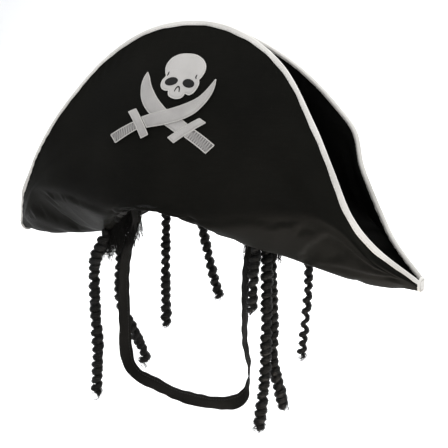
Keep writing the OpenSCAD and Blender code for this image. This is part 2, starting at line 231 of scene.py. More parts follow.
# ---- materials
class Look:
    """A material, and short ways to add nodes to it."""

    def __init__(self, name):
        self.mat = bpy.data.materials.new(name)
        self.mat.use_nodes = True
        self.tree = self.mat.node_tree

    def fill(self, node, inputs):
        """Sets a node's inputs to numbers, or links them to other nodes' outputs."""
        for socket, value in inputs.items():
            if isinstance(value, bpy.types.NodeSocket):
                self.tree.links.new(value, node.inputs[socket])
            else:
                node.inputs[socket].default_value = value

    def node(self, kind, out, inputs, **settings):
        node = self.tree.nodes.new("ShaderNode" + kind)
        for key, value in settings.items():
            setattr(node, key, value)
        self.fill(node, inputs)
        return node.outputs[out]

    def place(self):
        return self.node("TexCoord", "Object", {})

    def noise(self, scale, detail, stretch=(1, 1, 1)):
        """Noise in the object's own coordinates, in turns a metre."""
        place = self.node("Mapping", "Vector", {"Vector": self.place(), "Scale": stretch})
        return self.node("TexNoise", "Fac",
                         {"Vector": place, "Scale": scale, "Detail": detail})

    def wave(self, scale, direction, warp):
        return self.node("TexWave", "Fac",
                         {"Vector": self.place(), "Scale": scale, "Distortion": warp},
                         bands_direction=direction)

    def tint(self):
        return self.node("Attribute", "Fac", {}, attribute_name="tint")

    def math(self, operation, a, b):
        return self.node("Math", "Value", {0: a, 1: b}, operation=operation)

    def blend(self, a, share_a, b, share_b):
        return self.math("ADD", self.math("MULTIPLY", a, share_a),
                         self.math("MULTIPLY", b, share_b))

    def bump(self, height, distance, strength, base=None):
        inputs = {"Height": height, "Distance": distance, "Strength": strength}
        if base:
            inputs["Normal"] = base
        return self.node("Bump", "Normal", inputs)

    def ramp(self, factor, stops):
        colour = self.node("ValToRGB", "Color", {"Fac": factor})
        elements = colour.node.color_ramp.elements
        while len(elements) < len(stops):
            elements.new(0.5)
        for element, (place, value) in zip(elements, stops):
            element.position = place
            element.color = (*value, 1)
        return colour

    def finish(self, inputs):
        self.fill(self.tree.nodes["Principled BSDF"], inputs)
        return self.mat


def satin(name, dark, light, rough, specular, sheen):
    """Black satin: long floats across the width, faint cloudy wear, soft sheen."""
    look = Look(name)
    weave = look.math("MULTIPLY", look.wave(620, "X", 1.2), look.wave(900, "Z", 0.8))
    slub = look.noise(240, 2, (0.25, 1, 3))
    mixed = look.blend(look.noise(14, 5), 1, slub, 0.25)
    worn = {"Value": mixed, "To Min": rough - 0.05, "To Max": rough + 0.07}
    return look.finish({
        "Base Color": look.ramp(mixed, [(0.35, dark), (0.85, light)]),
        "Roughness": look.node("MapRange", "Result", worn),
        "Normal": look.bump(slub, 0.0004, 0.25, look.bump(weave, 0.00012, 0.35)),
        "Specular IOR Level": specular, "Sheen Weight": sheen, "Sheen Roughness": 0.35})


def tape(name, dark, light, scale, rough=0.85, depth=0.0003, sheen=0.2, specular=0.25):
    """Plain-woven tape or felt: crossed yarns with fuzz and slight soiling, plus the tint
    attribute, which holds painted shade in the grooves of the sword grips.
    """
    look = Look(name)
    weave = look.math("MAXIMUM", look.wave(scale, "DIAGONAL", 0.6),
                      look.wave(scale * 0.93, "Z", 0.6))
    soiling_and_groove_shade = look.blend(weave, 0.35, look.noise(30, 5), 0.65)
    # The tint adds variation along the tapes, and painted shade in the grooves of the sword
    # grips.
    soiling_and_groove_shade = look.blend(soiling_and_groove_shade, 1, look.tint(), 0.5)
    deep = tuple(0.15 * c for c in dark)
    return look.finish({
        "Base Color": look.ramp(soiling_and_groove_shade, [(0.02, deep), (0.3, dark), (0.95, light)]),
        "Normal": look.bump(look.noise(900, 3), 0.0003, 0.4, look.bump(weave, depth, 0.6)),
        "Roughness": rough, "Specular IOR Level": specular, "Sheen Weight": sheen,
        "Sheen Roughness": 0.5})


def fibre(name, dark, light, rough, specular):
    """Synthetic hair or thread: fine streaks with a dull shine."""
    look = Look(name)
    streak = look.noise(700, 2, (1, 1, 0.15))
    # The tint gives each fibre its own tone, and also darkens the core ply of a lock as
    # painted shade.
    mixed = look.blend(streak, 0.6, look.tint(), 0.6)
    return look.finish({
        "Base Color": look.ramp(mixed, [(0.3, dark), (0.9, light)]),
        "Normal": look.bump(streak, 0.0002, 0.5),
        "Roughness": rough, "Specular IOR Level": specular})


SATIN = satin("black_satin", (0.0024, 0.0024, 0.0019), (0.0056, 0.0054, 0.0043),
              0.50, 0.03, 0)
LINING = satin("black_lining", (0.003, 0.003, 0.003), (0.008, 0.0078, 0.0072),
               0.50, 0.09, 0)
CROWN = satin("crown_cloth", (0.005, 0.005, 0.0045), (0.012, 0.0118, 0.011),
              0.62, 0.15, 0.03)
BINDING = tape("white_tape", (0.36, 0.346, 0.325), (0.59, 0.575, 0.545), 420)
PATCH = tape("patch_felt", (0.17, 0.163, 0.158), (0.44, 0.425, 0.41), 520, 0.9, 0.00025)
PATCH_DARK = tape("patch_dark_felt", (0.003, 0.003, 0.003), (0.010, 0.0095, 0.009),
                  520, 0.9, sheen=0)
SWEATBAND = tape("sweatband_tape", (0.004, 0.004, 0.004), (0.012, 0.0115, 0.011), 380, 0.8,
                 0.0003, 0.05)
RIBBON = tape("ribbon_black", (0.0020, 0.0020, 0.0016), (0.0070, 0.0067, 0.0058), 460, 0.7,
              0.0003, 0.0, 0.07)
FOAM = tape("foam_grey", (0.02, 0.02, 0.019), (0.06, 0.058, 0.054), 150, 0.95, 0.0005)
HAIR = fibre("black_hair", (0.002, 0.002, 0.0017), (0.008, 0.0077, 0.0068), 0.5, 0.18)
# The same hair as the locks in a darker colour: painted shade on the hair that sits under
# the flaps.
ROOTS_PAINTED_SHADE = fibre("hair_roots", (0.001, 0.001, 0.001), (0.005, 0.005, 0.0044), 0.7, 0.1)
THREAD_LIGHT = fibre("thread_light", (0.33, 0.317, 0.30), (0.54, 0.525, 0.50), 0.7, 0.3)
THREAD_DARK = fibre("thread_dark", (0.004, 0.004, 0.004), (0.02, 0.02, 0.019), 0.6, 0.3)


# ---- hair strands
LOCK_STEP, COIL_PITCH, CRIMP_PITCH = 0.6 * MM, 9.0 * MM, 4.2 * MM
COIL_RADIUS, PLY_RADIUS = 0.20, 0.295  # shares of a lock's width
FIBRES, FIBRE_R, FLYAWAY_R = 30, (0.22 * MM, 0.34 * MM), 0.13 * MM
FLYAWAY_GAP = 2.2 * MM

# How full each lock is, how loose its coil gets towards the end, how much wider it is
# there, and its route in mm, root first
STRAND_D = 0.010
STRANDS = {
    "strand_left_front": (1.26, 0, 1.04, [
        (-88, -50, -39), (-93, -50, -52), (-102.5, -50, -70), (-105.5, -50, -92),
        (-105, -50, -137), (-103, -50, -167), (-105, -50, -197), (-107, -50, -227)]),
    "strand_left_side": (1.12, 0.2, 1.06, [
        (-101, -7, -52), (-102.5, -7, -78), (-103.5, -7, -111), (-104, -4, -135),
        (-100.5, 12, -167), (-101, 28, -191), (-98, 32, -205), (-102, 30, -215)]),
    "strand_left_back": (1.1, 0.1, 1.1, [
        (-65, 30, -20), (-66, 30, -60), (-67, 30, -95), (-67, 30, -130), (-67, 30, -164)]),
    "strand_nape": (1.16, 0.3, 1.12, [
        (-62, 88, -16), (-55, 88, -52), (-46, 88, -88), (-38, 88, -117), (-30, 88, -140)]),
    "strand_right_front": (1.12, 0.2, 1.06, [
        (78, -26, -38), (76, -26, -56), (74.5, -26, -72), (74, -26, -90), (73, -26, -112)]),
    "strand_right_inner": (1.24, 0, 1.05, [
        (80, -7, -43), (80, -7, -90), (80, -7, -135), (80, -8, -175), (80, -14, -205),
        (80, -22, -238)]),
    "strand_right_outer": (1.18, 0.2, 1.08, [
        (76.5, 10, -42), (77.5, 10, -90), (79, 10, -135), (80, 10, -175), (82, 20, -205),
        (84, 28, -232)]),
    "strand_right_back": (0.98, 1, 1.1, [
        (94, 60, -32), (95, 60, -70), (95, 60, -110), (92, 60, -142), (90, 60, -166),
        (88, 60, -183)]),
}


def spoke(a, b, angle):
    """Directions at an angle between two others, at each point of a line."""
    return a * np.cos(angle)[:, None] + b * np.sin(angle)[:, None]


def knotted(rng, run, spacing, spread):
    """A slow random change along a strand, between -spread and spread."""
    knots = np.arange(-spacing, run[-1] + 2 * spacing, spacing)
    heights = np.stack([knots, rng.uniform(-spread, spread, len(knots))], 1)
    fine = curve_through(heights, spacing / 8)
    return np.interp(run, fine[:, 0], fine[:, 1])


def hair_strand(name, route, fullness, loose, flare, seed):
    """A crimped lock: one thick ply in a tight coil, wrapped in crimped fibres."""
    rng = np.random.default_rng(seed)
    line = curve_through(route, LOCK_STEP)
    run = lengths_along(line)
    total = run[-1]
    d = unit(np.gradient(line, axis=0))
    a = unit(np.cross(d, np.array([0.0, 1.0, 0.0])))
    near_root, near_end = smooth(run / 0.016), smooth((run - total + 0.013) / 0.013)
    slack = loose * smooth((run / total - 0.35) / 0.5)
    turn = 2 * math.pi * run / COIL_PITCH * (1 - 0.12 * slack) + rng.uniform(0, 6.3)
    turn = turn + knotted(rng, run, 0.017, 1.1)
    size = STRAND_D * fullness * (1 + knotted(rng, run, 0.012, 0.12))
    size = size * (1 + (flare - 1) * smooth((run / total - 0.7) / 0.3))
    coil = size * (COIL_RADIUS + 0.08 * slack) * (0.35 + 0.65 * near_root)
    ply = size * (PLY_RADIUS - 0.08 * slack) * (0.8 + 0.2 * near_root)
    ply = ply * (1 - 0.35 * near_end)
    outward = spoke(a, np.cross(d, a), turn)
    centre = line + outward * coil[:, None]
    ahead = unit(np.gradient(centre, axis=0))
    level = unit(np.cross(ahead, outward))
    outward = np.cross(level, ahead)
    mesh = Mesh()
    last = len(line) - 4
    # The core ply gets the lowest tint, so it is darker than the fibres round it: painted
    # shade inside the lock.
    mesh.tube(centre[:last], ply[:last], 10, 0.05, across=outward[:last])
    for k in range(FIBRES):
        around = k * 2 * math.pi / FIBRES + rng.uniform(-0.12, 0.12)
        around = around + 2 * math.pi * run / rng.uniform(0.018, 0.045)
        crimp = 0.30 * MM * np.sin(2 * math.pi * run / CRIMP_PITCH + rng.uniform(-0.9, 0.9))
        out = ply + rng.uniform(-0.02, 0.045) * size + crimp + 0.10 * size * near_end
        hair = centre + out[:, None] * spoke(outward, level, around)
        hair = hair + d * (crimp * 0.6)[:, None]
        end = len(line) - int(max(0, rng.uniform(-12, 6)))
        thin = rng.uniform(*FIBRE_R) * (1 - 0.5 * near_end)
        mesh.tube(hair[:end], thin[:end], 4, rng.uniform(0.2, 1.0), across=outward[:end])
    add_flyaways(mesh, (line + centre) / 2, run, rng)
    return mesh.build(name + "_lock", HAIR), line


def add_flyaways(mesh, core, run, rng):
    """Short loose hairs that stand off a lock, more of them towards its end."""
    total = run[-1]
    for _ in range(int(total / FLYAWAY_GAP)):
        s = total * rng.uniform(0.02, 1.0) ** 0.8
        start = np.array([np.interp(s, run, core[:, k]) for k in range(3)])
        way = unit(rng.normal(size=3) * np.array([1, 1, 0.35]))
        side = unit(np.cross(way, rng.normal(size=3)))
        f = np.linspace(0, 1, 7)[:, None]
        reach = STRAND_D * rng.uniform(0.40, 0.53)
        drop = rng.uniform(0.001, 0.006)
        hair = start + way * reach * np.sin(f * rng.uniform(1.6, 2.9))
        hair = hair + side * 1.4 * MM * np.sin(f * 9) - UP * drop * f
        mesh.tube(hair, FLYAWAY_R, 3, rng.uniform(0.3, 1.0), across=side)


def hang_strands():
    for seed, (name, (*look, route)) in enumerate(STRANDS.items(), 11):
        route = np.round(np.array(route) * MM, 6)
        lock, line = hair_strand(name, route, *look, seed)
        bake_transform(lock)
        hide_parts(name)


# ---- chin strap
STRAP_Y, STRAP_WIDTH, STRAP_THICKNESS, STRAP_STEP = -0.020, 0.014, 1.2 * MM, 1.6 * MM
STITCH_COLUMN = 11  # of the 15 columns of points across the ribbon
# x and z of the route in mm, and the ribbon's turn about its own length in degrees
STRAP = [
    (-72.8, -12, 0), (-72.6, -21, 0), (-71.4, -29, 0), (-72.6, -38, 0), (-80, -58, 10),
    (-87, -85, 15), (-89, -120, 20), (-88, -150, 30), (-88, -176, 40), (-83, -196, 60),
    (-70, -207, 75), (-50, -212, 85), (-25, -218, 90), (0, -220, 90), (27, -219, 90),
    (48, -214, 80), (62, -204, 60), (67, -188, 35), (67, -170, 20), (62, -145, 10),
    (63, -112, 5), (62, -88, 0), (64, -62, 0), (70, -38, 0), (71.4, -29, 0), (72.6, -21, 0),
    (72.8, -12, 0),
]


def strap_sections():
    """Centre, width direction and thickness direction along the ribbon."""
    # The turn is made tiny while the curve is divided, so that only x and z set the steps
    fine = curve_through(np.round(np.array(STRAP) * [MM, MM, MM * MM], 9), STRAP_STEP)
    centre = np.insert(fine[:, :2], 1, STRAP_Y, axis=1)
    d = unit(np.gradient(centre, axis=0))
    side = np.stack([-d[:, 2], d[:, 1], d[:, 0]], 1)
    turn = np.radians(fine[:, 2] / MM / MM)
    along_y = np.array([[0.0, 1.0, 0.0]])
    return centre, spoke(along_y, side, turn), spoke(side, -along_y, turn)


def hang_strap():
    centre, wide, thin = strap_sections()
    run = lengths_along(centre)
    across = np.linspace(-1, 1, 15)
    # The tape is folded over and stitched: a little cupped, thicker at both edges
    cup = 0.9 * MM * np.sin(run * 75 + 0.6)[:, None] * (across ** 2 - 0.4)[None]
    ripple = 0.35 * MM * np.sin(run * 410)[:, None] * (across ** 4)[None]
    half = 0.42 + 0.16 * np.abs(across) ** 6 - 0.22 * bump(across, 0.55, 0.09)
    half = STRAP_THICKNESS * half
    narrow = 1 + 0.05 * np.sin(run * 120)[:, None] + 0.03 * np.sin(run * 333)[:, None]
    place = across[None] * narrow * STRAP_WIDTH / 2
    middle = (centre[:, None] + wide[:, None] * place[..., None]
              + thin[:, None] * (cup + ripple)[..., None])
    mesh, stitches = Mesh(), Mesh()
    offset = thin[:, None] * half[None, :, None]
    add_shell(mesh, middle + offset, middle - offset, 0.5 + 0.2 * np.sin(run * 90)[:, None])
    strap = mesh.build("chin_ribbon", RIBBON)
    for face in (1, -1):
        line = middle[:, STITCH_COLUMN] + thin * face * half[STITCH_COLUMN]
        thread_run(stitches, line, thin * face, 2.4 * MM, 0.9 * MM, 0.22 * MM)
    thread = stitches.build("chin_ribbon_stitches", THREAD_DARK)
    for piece in (strap, thread):
        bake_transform(piece)
    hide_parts("chin_strap", "strap_ends")


hang_strands()
hang_strap()


# ---- flap surfaces
LAST_STATION, OPENING_STATION, LAST_SECTION = 7, 3.5, 4
OPENING_RX, OPENING_RY, DROOP, SEAM_DROP = 0.084, 0.099, 0.032, 0.038
LEFT_FLEX = np.array([0.004, 0.0, 0.009])
TIP_X = 0.240
SATIN_T, FOAM_T = 0.7 * MM, 2.6 * MM
CLAMPED, CLAMP_REACH = 0.6, 0.3  # share of the foam that is lost, and in how many sections
FLAP_T = 2 * SATIN_T + FOAM_T

# Lines of a flap at stations from its middle to its side tip, in millimetres
LINES = {
    FRONT: {
        "edge": [(0, -14, 176), (55, -18, 166), (105, -26, 135), (145, -44, 86),
                 (170, -54, 45), (190, -55, 4), (210, -39, -27), (240, -9, -60)],
        "bulge": [(0, -104, 12), (42, -99, 9), (78, -91, 3), (110, -81, 0),
                  (142, -71, -2), (174, -59, -12), (205, -42, -42), (240, -12, -64)],
        "fold": [(0, -103, 1.5), (36, -95, -6), (66, -76, -21), (90, -50, -36),
                 (116, -36, -44), (152, -32, -53), (194, -23, -64), (240, -8, -69)],
    },
    BACK: {
        "edge": [(0, 10, 175), (55, 17, 158), (105, 22, 128), (145, 24, 88),
                 (170, 20, 38), (190, 23, -6), (210, 13, -32), (240, 3, -60)],
        "bulge": [(0, 104, 13), (42, 98, 10), (78, 88, 3), (110, 72, 0),
                  (142, 55, -8), (174, 42, -22), (207, 28, -40), (240, 6, -64)],
        "fold": [(0, 103, 1), (36, 95, -2), (66, 76, -11), (90, 50, -26),
                 (116, 34, -40), (152, 26, -52), (194, 16, -62.5), (240, 2, -69)],
    },
}


def on_line(line, u):
    """Points of a flap line at stations u, which are negative on the left."""
    p = np.array(line, float) * MM
    p = np.vstack([p[1] * [-1, 1, 1], p, 2 * p[-1] - p[-2]])
    a = np.abs(u)
    i = np.minimum(a.astype(int), LAST_STATION - 1)
    q = blend4(p[i], p[i + 1], p[i + 2], p[i + 3], (a - i)[:, None])
    q[:, 0] *= np.where(u < 0, -1, 1)
    return q


def edge_wave(u, side):
    """The front edge flares at its left end, and the back one swells on the right."""
    if side == FRONT:
        return smooth((-u - 4.6) / 1.2)[:, None] * [-0.005, 0, 0]
    return bump(u, 3.4, 0.4)[:, None] * [0.005, 0, 0.002]


def droop(phi):
    """Height of the opening's edge at an angle from the front."""
    return -DROOP * np.abs(np.sin(phi)) ** np.where(np.cos(phi) > 0, 2.2, 5)


def side_droop(phi, side):
    return droop(phi if side == FRONT else math.pi - phi)


def lower_edge(u, side):
    """Round the head opening, then along the seam out to the tip."""
    a, s = np.abs(u), np.where(u < 0, -1, 1)
    phi = a / OPENING_STATION * math.pi / 2
    w = np.clip((a - OPENING_STATION) / (LAST_STATION - OPENING_STATION), 0, 1)
    inner = np.stack([s * OPENING_RX * np.sin(phi), side * OPENING_RY * np.cos(phi),
                      side_droop(phi, side)], 1)
    outer = np.stack([s * (OPENING_RX + (TIP_X - OPENING_RX) * w), -0.003 * w * w,
                      -DROOP - SEAM_DROP * w ** 0.9], 1)
    return np.where((a <= OPENING_STATION)[:, None], inner, outer)


def skin(u, t, side):
    """Outer surface of a flap. Section t runs from the upper edge to the lower one."""
    lines = LINES[side]
    edge, bulge, fold = (on_line(lines[k], u) for k in ("edge", "bulge", "fold"))
    edge = edge + edge_wave(u, side)
    belly = side * 0.008 * (1 - np.abs(u) / LAST_STATION)
    middle = (edge + bulge) / 2 + belly[:, None] * [0, 1, 0]
    low = lower_edge(u, side)
    c = np.stack([2 * edge - middle, edge, middle, bulge, fold, low, 2 * low - fold])
    i = np.minimum(t.astype(int), LAST_SECTION - 1)
    n = np.arange(len(u))
    point = blend4(c[i, n], c[i + 1, n], c[i + 2, n], c[i + 3, n], (t - i)[:, None])
    return point + LEFT_FLEX * smooth((-u - OPENING_STATION) / 3.5)[:, None]


def pressed(t, depth):
    """A depth in the flap, where the binding clamps the foam thin along the edge."""
    lost = FOAM_T * CLAMPED * (1 - smooth(t / CLAMP_REACH))
    return depth - lost * np.clip((depth - SATIN_T) / FOAM_T, 0, 1)


def into(u, t, side):
    """Direction into the cloth, which turns to straight up along the lower edge."""
    e = 0.02
    ua, ub = np.maximum(-LAST_STATION, u - e), np.minimum(LAST_STATION, u + e)
    ta, tb = np.maximum(0, t - e), np.minimum(LAST_SECTION, t + e)
    n = -side * unit(np.cross(skin(ub, t, side) - skin(ua, t, side),
                              skin(u, tb, side) - skin(u, ta, side)))
    w = smooth(t - 3)[:, None]
    return unit(n * (1 - w) + UP * w)


# Creases of each flap: both ends as (station, section), width and depth in mm
CREASES = {
    FRONT: [
        (-6.7, 2.2, -6.1, 3.4, 5, 0.6), (-6.5, 1.7, -5.0, 3.3, 8, 0.7),
        (-6.0, 1.7, -4.4, 2.7, 11, 0.6), (-4.2, 2.7, -3.4, 3.5, 7, 0.5),
        (0.9, 1.9, 1.9, 3.6, 7, 1.4), (3.0, 1.0, 4.6, 2.0, 16, 1.2),
        (4.6, 2.3, 6.3, 2.0, 7, 1.0), (5.0, 2.9, 6.6, 2.1, 5, 0.9),
        (5.2, 0.7, 6.5, 1.9, 9, 0.9), (2.2, 0.5, 3.4, 1.5, 20, 1.0),
        (-3.4, 0.5, -1.8, 1.5, 20, 0.8), (-0.7, 2.1, -1.6, 3.2, 6, 0.8),
    ],
    BACK: [
        (6.4, 1.7, 5.0, 3.1, 6, 1.0), (6.1, 1.5, 4.2, 2.7, 6, 0.9),
        (-6.4, 1.8, -4.9, 3.0, 6, 1.0), (-1.2, 1.9, -2.2, 3.4, 7, 1.2),
        (1.2, 1.9, 2.2, 3.4, 7, 1.1), (-3.2, 0.7, -4.8, 1.9, 14, 1.2),
        (3.0, 0.6, 4.8, 1.8, 14, 1.2), (0.6, 0.5, -0.4, 1.7, 18, 0.9),
    ],
}
STATION_MM, SECTION_MM = 36, 70


def creases(u, t, side):
    """Depth of the soft folds and ripples of a flap, in metres, outward positive."""
    x, y = u * STATION_MM, t * SECTION_MM
    out = np.zeros(len(u))
    for u0, t0, u1, t1, width, depth in CREASES[side]:
        ax, ay = u0 * STATION_MM, t0 * SECTION_MM
        dx, dy = u1 * STATION_MM - ax, t1 * SECTION_MM - ay
        long = math.hypot(dx, dy)
        f = ((x - ax) * dx + (y - ay) * dy) / long ** 2
        off = ((x - ax) * dy - (y - ay) * dx) / long + 3 * np.sin(f * 4 + u0)
        fade = smooth(f * 3 + 0.5) * smooth((1 - f) * 3 + 0.5)
        out += fade * depth * (0.6 * bump(off, width * 1.3, width) - bump(off, 0, width))
    return out * MM


def free_part(u, t):
    """1 where the cloth is free, 0 at the binding, the lower edge and the tips."""
    return (smooth((t - 0.06) / 0.3) * smooth((LAST_SECTION - t) / 0.8)
            * smooth((LAST_STATION - np.abs(u)) / 0.5))


RIPPLE_ROWS, RIPPLE_COLS, RIPPLE_FRAMES = 121, 49, 18
MOST_RIPPLE, CLOTH_GROWTH = 1.3 * MM, 0.022
CLOTH_ROWS, CLOTH_COLS = 337, 121


def grid(rows, cols):
    u, t = np.meshgrid(np.linspace(-LAST_STATION, LAST_STATION, rows),
                       np.linspace(0, LAST_SECTION, cols), indexing="ij")
    return u.ravel(), t.ravel()


def settle_cloth(side):
    """How far outward a sheet moves that is cut too large and settles between its seams."""
    u, t = grid(RIPPLE_ROWS, RIPPLE_COLS)
    rest, outward = skin(u, t, side), -into(u, t, side)
    mesh = Mesh()
    mesh.add(rest + outward * (0.15 * MM * np.sin(u * 9 + t * 5))[:, None],
             grid_faces(RIPPLE_ROWS, RIPPLE_COLS))
    sheet = mesh.build("settling_sheet", SATIN)
    held = sheet.vertex_groups.new(name="sewn")
    sewn = (t < 0.09) | (t > 3.95) | (np.abs(u) > LAST_STATION - 0.1)
    held.add(np.flatnonzero(sewn).tolist(), 1.0, "REPLACE")
    cloth = sheet.modifiers.new("cloth", "CLOTH")
    s = cloth.settings
    s.quality, s.mass = 6, 0.15
    s.tension_stiffness = s.compression_stiffness = 18
    s.shear_stiffness, s.bending_stiffness = 6, 1.4
    s.vertex_group_mass, s.shrink_min = "sewn", -CLOTH_GROWTH
    s.effector_weights.gravity = 0.25
    cloth.point_cache.frame_start, cloth.point_cache.frame_end = 1, RIPPLE_FRAMES
    scene = bpy.context.scene
    for f in range(1, RIPPLE_FRAMES + 1):
        scene.frame_set(f)
    settled = sheet.evaluated_get(bpy.context.evaluated_depsgraph_get()).data
    moved = np.empty(len(settled.vertices) * 3)
    settled.vertices.foreach_get("co", moved)
    scene.frame_set(1)
    bpy.data.objects.remove(sheet)
    out = ((moved.reshape(-1, 3) - rest) * outward).sum(1)
    out = MOST_RIPPLE * np.tanh(out / MOST_RIPPLE)
    return out.reshape(RIPPLE_ROWS, RIPPLE_COLS)


RIPPLES = {side: settle_cloth(side) for side in (FRONT, BACK)}


def ripple_at(u, t, side):
    """The settled ripples between the points of their grid."""
    field = RIPPLES[side]
    x = (u + LAST_STATION) / (2 * LAST_STATION) * (RIPPLE_ROWS - 1)
    y = t / LAST_SECTION * (RIPPLE_COLS - 1)
    i = np.clip(x.astype(int), 1, RIPPLE_ROWS - 3)
    j = np.clip(y.astype(int), 1, RIPPLE_COLS - 3)
    rows = [blend4(*(field[i + a, j + b] for b in (-1, 0, 1, 2)), y - j)
            for a in (-1, 0, 1, 2)]
    return blend4(*rows, x - i)


def relief(u, t, side):
    """How far the finished satin stands proud of the plain flap surface."""
    calm = 0.35 + 0.65 * smooth((t - 1.2) / 1.0)
    pucker = 0.25 * MM * np.sin(u * 24 + 2 * np.sin(u * 3)) * bump(t, 0.16, 0.09)
    out = creases(u, t, side) + ripple_at(u, t, side) * calm
    return out * free_part(u, t) + pucker


def cloth_layer(u, t, side, depth):
    """Points of a flap at a depth under its finished surface."""
    deep = pressed(t, depth) - relief(u, t, side)
    return skin(u, t, side) + into(u, t, side) * deep[:, None]


def flap_sheet(name, side, from_depth, to_depth, rows, cols, finish):
    u, t = grid(rows, cols)
    faces = [cloth_layer(u, t, side, np.full(len(u), depth)).reshape(rows, cols, 3)
             for depth in (from_depth, to_depth)]
    mesh = Mesh()
    add_shell(mesh, *faces, flip=side == BACK)
    return mesh.build(name, finish)


NAMES = {FRONT: "front", BACK: "back"}


def make_flap(side):
    name = NAMES[side]
    gap = 0.04 * MM
    size = CLOTH_ROWS, CLOTH_COLS
    foam_end = SATIN_T + FOAM_T
    cover = flap_sheet(name + "_satin", side, 0, SATIN_T - gap, *size, SATIN)
    pad = flap_sheet(name + "_foam_pad", side, SATIN_T, foam_end, 169, 61, FOAM)
    liner = flap_sheet(name + "_lining_cloth", side, foam_end + gap, FLAP_T, *size, LINING)
    dress(cover, "satin", name + "_outer")
    dress(pad, "foam", name + "_foam")
    dress(liner, "lining", name + "_lining")


make_flap(FRONT)
make_flap(BACK)


# ---- bindings
BINDING_H, BINDING_T, BINDING_GAP = 4.5 * MM, 0.8 * MM, 0.3 * MM


def near_tip(u):
    return smooth((np.abs(u) - 5.5) / 1.5)


def below_edge(u, side):
    """A function of height: the sections that lie that far below the edge."""
    sections = np.linspace(0, 2, 61)
    points = np.stack([skin(u, np.full(len(u), t), side) for t in sections])
    reach = np.vstack([np.zeros(len(u)),
                       np.cumsum(np.linalg.norm(np.diff(points, axis=0), axis=2), axis=0)])

    def find(height):
        return np.array([np.interp(h, reach[:, k], sections) for k, h in enumerate(height)])
    return find


def make_binding(side):
    """A folded strip of woven tape over the upper edge, with two rows of stitches."""
    rows = 561
    u = np.linspace(-LAST_STATION, LAST_STATION, rows)
    zero = np.zeros(rows)
    top, inward = skin(u, zero, side), into(u, zero, side)
    lift = unit(top - skin(u, zero + 0.1, side))
    find, run = below_edge(u, side), lengths_along(top)
    near, far = -BINDING_GAP, pressed(0, FLAP_T) + BINDING_GAP
    clamped = FLAP_T - pressed(0, FLAP_T)
    mid, round_ = (near + far) / 2, (far - near) / 2
    fold = np.radians(np.linspace(0, 180, 11))
    outer = [(near - BINDING_T * 0.7, 1)]
    outer += [(near - BINDING_T, h) for h in (0.93, 0.7, 0.45, 0.2)]
    outer += [(mid - (round_ + BINDING_T) * math.cos(w),
               -(round_ * 0.55 + BINDING_T) * math.sin(w)) for w in fold]
    outer += [(far + BINDING_T, h) for h in (0.2, 0.45, 0.7, 0.93)]
    outer += [(far + BINDING_T * 0.7, 1)]
    inner = [(far, h) for h in (1.0, 0.6, 0.2)]
    inner += [(mid + round_ * math.cos(w), -round_ * 0.5 * math.sin(w))
              for w in fold[1:-1:2]]
    inner += [(near, h) for h in (0.2, 0.6, 1.0)]
    wide = BINDING_H * (1 + 0.07 * np.sin(run * 95) + 0.05 * np.sin(run * 241 + 1))
    wide = wide * (1 - 0.3 * near_tip(u) * (1 if side == BACK else smooth(u + 1)))
    inner_leg = (1 - 0.9 * near_tip(u)) * (1 if side == FRONT else 0.4)
    lump = 0.16 * MM * np.sin(run * 520) + 0.12 * MM * np.sin(run * 173 + 2)
    columns = []
    for k, (depth, height) in enumerate(outer + inner):
        if height > 0:
            shown = np.sign(depth - mid) * lump * height if k < len(outer) else 0
            reach = wide * height * (inner_leg if depth > mid else 1)
            depth = depth + (clamped if depth > mid else 0)
            columns.append(cloth_layer(u, find(reach), side, depth + shown))
        else:
            columns.append(top + inward * depth - lift * height)
    count = len(columns)
    mesh, stitches = Mesh(), Mesh()
    caps = np.array([np.arange(count), (rows - 1) * count + np.arange(count)[::-1]])
    tint = 0.5 + 0.25 * np.repeat(np.sin(run * 60), count)
    faces = grid_faces(rows, count + 1, None, count, flip=side == FRONT)
    mesh.add(np.stack(columns, 1), faces, caps if side == FRONT else caps[:, ::-1],
             tint=tint)
    dress(mesh.build(NAMES[side] + "_binding_tape", BINDING), "binding",
          NAMES[side] + "_binding")
    for depth, face in ((near - BINDING_T, -1), (far + BINDING_T, 1)):
        reach = wide * 0.74 * (inner_leg if face > 0 else 1)
        deep = np.full(rows, depth + (clamped if face > 0 else 0))
        line = cloth_layer(u, find(reach), side, deep)
        thread_run(stitches, line, inward * face, 2.6 * MM, 1.1 * MM, 0.24 * MM, 0.4)
    dress(stitches.build(NAMES[side] + "_binding_stitches", THREAD_LIGHT), "thread_light")


make_binding(FRONT)
make_binding(BACK)


# ---- emblem
EMBLEM_SHIFT, EMBLEM_DROP, STATION_W, SECTION_H = 4, 2, 50, 95
PATCH_T = 1 * MM

# Outlines on the front flap: mm right of the emblem's middle, and mm below the edge
SKULL = [
    (2, 34), (11, 34.5), (19, 38), (23.5, 43), (24.8, 49), (23.5, 55), (21.6, 59),
    (22.8, 62), (22.8, 66), (20.6, 72.5), (16.5, 76), (11.8, 75.2), (10.8, 78),
    (8.5, 80.6), (4, 81.8), (-1, 81), (-5, 79), (-6.6, 76), (-7.2, 73.6), (-11.5, 73.4),
    (-15.8, 71), (-17.8, 67), (-17.4, 62.5), (-14.8, 58.3), (-16.6, 54), (-18, 49),
    (-17.5, 44), (-14, 38.5), (-7, 35),
]
UPPER_BLADE = [
    (-30, 101.8), (-18, 99), (-2.5, 95), (9, 90.5), (20, 84), (28, 77), (33, 69),
    (36.5, 61), (39.2, 54), (40.3, 60), (40.3, 67), (38.5, 75), (35, 83.5), (29, 93),
    (20, 100.5), (10, 105.5), (-1, 109), (-11.5, 111), (-21, 112.3),
]
UPPER_GUARD = [(-48.5, 94), (-39.7, 92.3), (-17, 119.4), (-24.7, 122.5)]
UPPER_GRIP = [(-39, 105.7), (-69, 114), (-60, 123.8), (-31.5, 112.8)]
